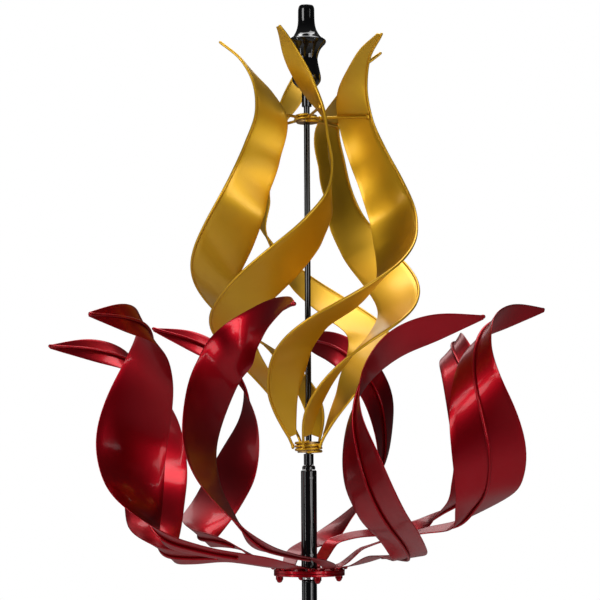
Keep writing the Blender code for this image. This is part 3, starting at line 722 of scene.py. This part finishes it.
def tube(name, node, inner, outer, low, high, material=BLACK, slot="black_coat", body="stand"):
    """An open tube in place of a CAD node."""
    profile = ((inner, low), (outer, low), (outer, high), (inner, high))
    soften(piece(name, *turned(profile, TUBE_SIDES), material, body, slot, [node]), TUBE_SOFT)


def build_spindle():
    """Spindle rod, stop collar, spacer tube and finial."""
    low, high = heights("spindle_rod")
    profile = ((0, low), (SPINDLE_RADIUS, low), (SPINDLE_RADIUS, high), (0, high))
    soften(piece("black_spindle", *turned(profile, ROUND_SIDES), BLACK, "stand", "black_coat",
                 ["spindle_rod"]))
    low, high = heights("stop_collar")
    profile = ((SPINDLE_RADIUS, low), (COLLAR_RADIUS, low), (COLLAR_RADIUS, high - COLLAR_SLOPE),
               (COLLAR_TOP_RADIUS, high), (SPINDLE_RADIUS, high))
    soften(piece("black_collar", *turned(profile, TUBE_SIDES), BLACK, "stand", "black_coat",
                 ["stop_collar"]), TUBE_SOFT)
    tube("black_spacer", "spacer_tube", SPINDLE_RADIUS, SPACER_RADIUS, *heights("spacer_tube"))
    profile = [(SPINDLE_RADIUS, FINIAL_SLEEVE[0][1])] + list(FINIAL_SLEEVE)
    profile += eased(FINIAL_BULB) + eased(FINIAL_FLARE) + eased(FINIAL_CROWN)[1:]
    profile += [(0, FINIAL_SEAT), (SPINDLE_RADIUS, FINIAL_SEAT)]
    finial = piece("black_finial", *turned(profile, FINE_SIDES, UP * HUB_Z), BLACK, "stand",
                   "black_coat", ["finial"], FINIAL_SHARP)
    soften(finial, TUBE_SOFT)


def build_pole():
    """Both parts of the pole, the plug that holds the spindle, and the thrust washer on it."""
    joint, high = heights("pole_upper")
    low = heights("pole_lower")[0]
    tube("black_pole_lower", "pole_lower", NECK_BORE, POLE_RADIUS, low, joint - JOINT_GAP)
    tube("black_pole_upper", "pole_upper", POLE_BORE, POLE_RADIUS, joint, high)
    foot, top = heights("pole_plug")
    fit, rim, seat = POLE_BORE - PLUG_PLAY, top - PLUG_RIM, top - ROD_DEPTH
    profile = [(0, foot), (fit, foot), (fit, rim), (POLE_RADIUS, rim)]
    profile += [(POLE_RADIUS - inward, top - down) for inward, down in PLUG_ROUNDING]
    profile += [(SPINDLE_RADIUS, top), (SPINDLE_RADIUS, seat), (0, seat)]
    soften(piece("black_pole_cap", *turned(profile, TUBE_SIDES), BLACK, "stand", "black_coat",
                 ["pole_plug"]), SMALL_SOFT)
    tube("zinc_washer", "thrust_washer", SPINDLE_RADIUS, WASHER_RADIUS, *heights("thrust_washer"),
         ZINC, "zinc_steel")


def build_bushes():
    """The four bushes that the hub tube and the coils turn on."""
    for name, body, radius in (("hub_bush_lower", "bloom", TUBE_BORE),
                               ("hub_bush_upper", "bloom", TUBE_BORE),
                               ("flame_bush_lower", "flame", BOTTOM_COIL[0] - COIL_WIRE),
                               ("flame_bush_upper", "flame", TOP_COIL[0] - COIL_WIRE)):
        tube(f"bronze_{name}", name, SPINDLE_RADIUS + BUSH_PLAY, radius - GAP, *heights(name),
             BRONZE, "bearing_bronze", body)


# ---- stake -----------------------------------------------------------------------------------------
BAR_CORNER, CORNER_STEPS, BAR_SOFT, BAR_SEGMENTS = 0.012, 13, 0.0009, 4
FILLET = 0.0032                          # width of the welds round the socket's foot and the prongs
FILLET_SLOPES = (15, 30, 45, 60, 75, 90)
SOCKET_RADIUS = 0.0125
LIP_RADIUS, LIP_DEPTH, LIP_TUCK = 0.0016, 0.0048, 0.2    # the tuck is a share of the lip's radius
LIP_SLOPES = (-60, -30, 0, 30, 60, 90)
PRONG_RADIUS, PRONG_TOP = 0.0050, 0.0040
# A prong's point, as radius and height from its tip, and its weld, as distances out and over the bar
PRONG_POINT = ((0, 0), (0.0007, 0.0008), (0.0031, 0.0186), (PRONG_RADIUS, 0.030))
PRONG_WELD = ((0, -GAP), (FILLET, -GAP), (FILLET / 2, 0.0007), (0.0003, 0.0011))
SCREW_RADIUS, KNOB_RADIUS, KNOB_SIDES, KNOB_FLUTES, FLUTE_DEPTH = 0.0030, 0.0080, 120, 10, 0.0006
# The thumb screw from its tip to its knob: share of the length, radius, whether it is fluted there
SCREW_LEVELS = (
    (0, SCREW_RADIUS, False), (0.36, SCREW_RADIUS, False), (0.38, SCREW_RADIUS * 1.7, False),
    (0.42, SCREW_RADIUS * 1.8, False), (0.45, KNOB_RADIUS * 0.90, True), (0.49, KNOB_RADIUS, True),
    (0.88, KNOB_RADIUS, True), (0.95, KNOB_RADIUS * 0.93, True), (0.985, KNOB_RADIUS * 0.80, False),
    (1, KNOB_RADIUS * 0.50, False), (1, KNOB_RADIUS * 0.05, False),
)


def build_step_bar():
    """The flat bar with round ends; returns the height of its top."""
    (x0, y0, low), (x1, y1, high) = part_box("step_bar")
    outline = []
    for x, y, first in ((x1, y1, 0), (x0, y1, 90), (x0, y0, 180), (x1, y0, 270)):
        for a in np.radians(np.linspace(first, first + 90, CORNER_STEPS)):
            outline.append((x - math.copysign(BAR_CORNER, x) + BAR_CORNER * math.cos(a),
                            y - math.copysign(BAR_CORNER, y) + BAR_CORNER * math.sin(a)))
    rings = [np.array([(x, y, z) for x, y in outline]) for z in (low, high)]
    soften(piece("black_step_bar", *loft(rings), BLACK, "stand", "black_coat", ["step_bar"]),
           BAR_SOFT, BAR_SEGMENTS)
    return high


def build_socket(deck):
    """The socket: a tube with a weld round its foot and a rolled lip."""
    high = heights("stake_socket")[1]
    bore = POLE_RADIUS + GAP
    lip, lip_middle = SOCKET_RADIUS - LIP_RADIUS * LIP_TUCK, high - LIP_RADIUS
    profile = [(bore, deck), (SOCKET_RADIUS + FILLET, deck)]
    profile += [(SOCKET_RADIUS + FILLET * (1 - math.sin(a)), deck + FILLET * (1 - math.cos(a)))
                for a in np.radians(FILLET_SLOPES)]
    profile += [(SOCKET_RADIUS, high - LIP_DEPTH)]
    profile += [(lip + LIP_RADIUS * math.cos(a), lip_middle + LIP_RADIUS * math.sin(a))
                for a in np.radians(LIP_SLOPES)]
    profile += [(bore, high)]
    piece("black_socket", *turned(profile, FINE_SIDES), BLACK, "stand", "black_coat",
          ["stake_socket"], LATHE_SHARP)


def build_prong(name, deck):
    """A pointed prong with a weld round it where it passes through the bar."""
    (x0, _, low), (x1, _, top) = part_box(name)
    profile = [(radius, low + up) for radius, up in PRONG_POINT]
    profile += [(PRONG_RADIUS + out, deck + up) for out, up in PRONG_WELD]
    profile += [(PRONG_TOP, top), (0, top)]
    piece(f"black_{name}", *turned(profile, ROUND_SIDES, ((x0 + x1) / 2, 0, 0)), BLACK, "stand",
          "black_coat", [name], LATHE_SHARP)


def build_thumb_screw():
    """The screw that clamps the pole in the socket, with a fluted knob."""
    (_, near, low), (_, far, high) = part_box("socket_screw")
    length, middle = far - near, (low + high) / 2
    turns = 2 * np.pi * np.arange(KNOB_SIDES) / KNOB_SIDES
    fluted = 1 - FLUTE_DEPTH / KNOB_RADIUS * (1 + np.cos(KNOB_FLUTES * turns))
    rings = []
    for share, radius, has_flutes in SCREW_LEVELS:
        reach = radius * (fluted if has_flutes else np.ones(KNOB_SIDES))
        rings.append(np.stack([reach * np.cos(turns), np.full(KNOB_SIDES, far - length * share),
                               middle + reach * np.sin(turns)], 1))
    piece("black_thumb_screw", *loft(rings), BLACK, "stand", "black_coat", ["socket_screw"])


def build_stake():
    """Step bar, socket, two prongs and the thumb screw."""
    deck = build_step_bar()
    build_socket(deck)
    for name in ("prong_left", "prong_right"):
        build_prong(name, deck)
    build_thumb_screw()


# ---- camera, light, floor --------------------------------------------------------------------------
CAMERA_PLACE = (0.0001, -2.28, 1.0889)
CAMERA_PITCH, CAMERA_YAW, CAMERA_ROLL = 4.85, -0.2375, -0.303    # degrees
CAMERA_LENS, CAMERA_SENSOR = 114.5, 36   # millimetres
CAMERA_CLIP = 0.05, 200
LIT_POINT = (0, 0, 1.25)                 # all the lights look at it
LIGHTS = (                               # name, place, size, watts
    ("key_left", (-2.4, -2.4, 2.2), (1.2, 1.6), 44),
    ("front_right", (1.9, -3.0, 1.45), (1.3, 1.7), 38),
    ("side_left", (-3.0, 0.5, 1.0), (1.6, 1.8), 9),
    ("top", (0.2, 0.6, 3.6), (2.0, 1.2), 42),
    ("back", (-0.5, 3.0, 2.9), (1.8, 1.0), 10),
    ("strip_left", (-1.9, -1.2, 1.3), (0.14, 2.2), 10),
    ("strip_right", (2.0, -1.5, 1.3), (0.10, 2.2), 7),
)
# Brightness of the dim room that the paint reflects, from straight below (0) to straight above (1)
ROOM_STOPS = ((0.0, 0.45), (0.32, 0.25), (0.43, 0.03), (0.60, 0.022), (0.80, 0.05), (1.0, 0.12))
FLOOR_RADIUS, FLOOR_SIDES = 12, 64
FLOOR_DROP = 0.0005                      # how far the floor is below the prongs' tips
FLOOR_TONE, FLOOR_ROUGHNESS = 0.86, 0.6
FADE_FROM, FADE_TO = 0.5, 3.0            # distances between which the floor goes clear


def build_camera():
    """The camera at the reference view's angle."""
    data = bpy.data.cameras.new("camera")
    data.sensor_width = CAMERA_SENSOR
    data.lens = CAMERA_LENS
    data.clip_start, data.clip_end = CAMERA_CLIP
    camera = bpy.data.objects.new("camera", data)
    bpy.context.scene.collection.objects.link(camera)
    camera.location = CAMERA_PLACE
    pitch, yaw, roll = math.radians(CAMERA_PITCH), math.radians(CAMERA_YAW), math.radians(CAMERA_ROLL)
    aim = Vector((math.sin(yaw) * math.cos(pitch), math.cos(yaw) * math.cos(pitch), math.sin(pitch)))
    camera.rotation_mode = "QUATERNION"
    camera.rotation_quaternion = aim.to_track_quat("-Z", "Y") @ Quaternion((0, 0, 1), roll)
    bpy.context.scene.camera = camera


def build_lights():
    """Soft rectangular lights round the object."""
    for name, place, size, power in LIGHTS:
        data = bpy.data.lights.new(name, "AREA")
        data.shape = "RECTANGLE"
        data.size, data.size_y = size
        data.energy = power
        light = bpy.data.objects.new(name, data)
        bpy.context.scene.collection.objects.link(light)
        light.location = place
        light.rotation_mode = "QUATERNION"
        light.rotation_quaternion = (Vector(LIT_POINT) - Vector(place)).to_track_quat("-Z", "Y")


def build_world():
    """A white backdrop for the camera, and a dim room for everything that the object reflects."""
    world = bpy.data.worlds.new("studio")
    bpy.context.scene.world = world
    world.use_nodes = True
    tree = world.node_tree
    tree.nodes.clear()
    out = tree.nodes.new("ShaderNodeOutputWorld")
    white = tree.nodes.new("ShaderNodeBackground")
    white.inputs["Color"].default_value = (1, 1, 1, 1)
    room = tree.nodes.new("ShaderNodeBackground")
    place = tree.nodes.new("ShaderNodeTexCoord")
    split = tree.nodes.new("ShaderNodeSeparateXYZ")
    height = tree.nodes.new("ShaderNodeMapRange")
    height.inputs["From Min"].default_value = -1
    ramp = tree.nodes.new("ShaderNodeValToRGB")
    while len(ramp.color_ramp.elements) < len(ROOM_STOPS):
        ramp.color_ramp.elements.new(0.5)
    for element, (position, value) in zip(ramp.color_ramp.elements, ROOM_STOPS):
        element.position = position
        element.color = (value, value, value, 1)
    seen = tree.nodes.new("ShaderNodeLightPath")
    mix = tree.nodes.new("ShaderNodeMixShader")
    tree.links.new(place.outputs["Generated"], split.inputs["Vector"])
    tree.links.new(split.outputs["Z"], height.inputs["Value"])
    tree.links.new(height.outputs["Result"], ramp.inputs["Fac"])
    tree.links.new(ramp.outputs["Color"], room.inputs["Color"])
    tree.links.new(seen.outputs["Is Camera Ray"], mix.inputs["Fac"])
    tree.links.new(room.outputs["Background"], mix.inputs[1])
    tree.links.new(white.outputs["Background"], mix.inputs[2])
    tree.links.new(mix.outputs["Shader"], out.inputs["Surface"])


def build_floor():
    """A wide pale floor whose far part fades into the white backdrop."""
    verts = [(0, 0, 0)]
    for k in range(FLOOR_SIDES):
        a = 2 * math.pi * k / FLOOR_SIDES
        verts.append((FLOOR_RADIUS * math.cos(a), FLOOR_RADIUS * math.sin(a), 0))
    mesh = bpy.data.meshes.new("floor")
    mesh.from_pydata(verts, [], [(0, 1 + k, 1 + (k + 1) % FLOOR_SIDES) for k in range(FLOOR_SIDES)])
    floor = bpy.data.objects.new("floor", mesh)
    floor.location = (0, 0, cad_box[0].z - FLOOR_DROP)
    bpy.context.scene.collection.objects.link(floor)
    material = bpy.data.materials.new("pale_floor")
    material.use_nodes = True
    tree = material.node_tree
    shader = tree.nodes["Principled BSDF"]
    shader.inputs["Base Color"].default_value = (FLOOR_TONE, FLOOR_TONE, FLOOR_TONE, 1)
    shader.inputs["Roughness"].default_value = FLOOR_ROUGHNESS
    place = tree.nodes.new("ShaderNodeTexCoord")
    length = tree.nodes.new("ShaderNodeVectorMath")
    length.operation = "LENGTH"
    fade = tree.nodes.new("ShaderNodeMapRange")
    fade.interpolation_type = "SMOOTHSTEP"
    fade.inputs["From Min"].default_value = FADE_FROM
    fade.inputs["From Max"].default_value = FADE_TO
    clear = tree.nodes.new("ShaderNodeBsdfTransparent")
    mix = tree.nodes.new("ShaderNodeMixShader")
    tree.links.new(place.outputs["Object"], length.inputs[0])
    tree.links.new(length.outputs["Value"], fade.inputs["Value"])
    tree.links.new(fade.outputs["Result"], mix.inputs["Fac"])
    tree.links.new(shader.outputs["BSDF"], mix.inputs[1])
    tree.links.new(clear.outputs["BSDF"], mix.inputs[2])
    tree.links.new(mix.outputs["Shader"], tree.nodes["Material Output"].inputs["Surface"])
    mesh.materials.append(material)


build_petals()
build_petal_welds()
build_hub()
build_flame()
build_spindle()
build_pole()
build_bushes()
build_stake()
build_camera()
build_world()
build_floor()
build_lights()
bpy.context.scene.view_settings.view_transform = "Standard"
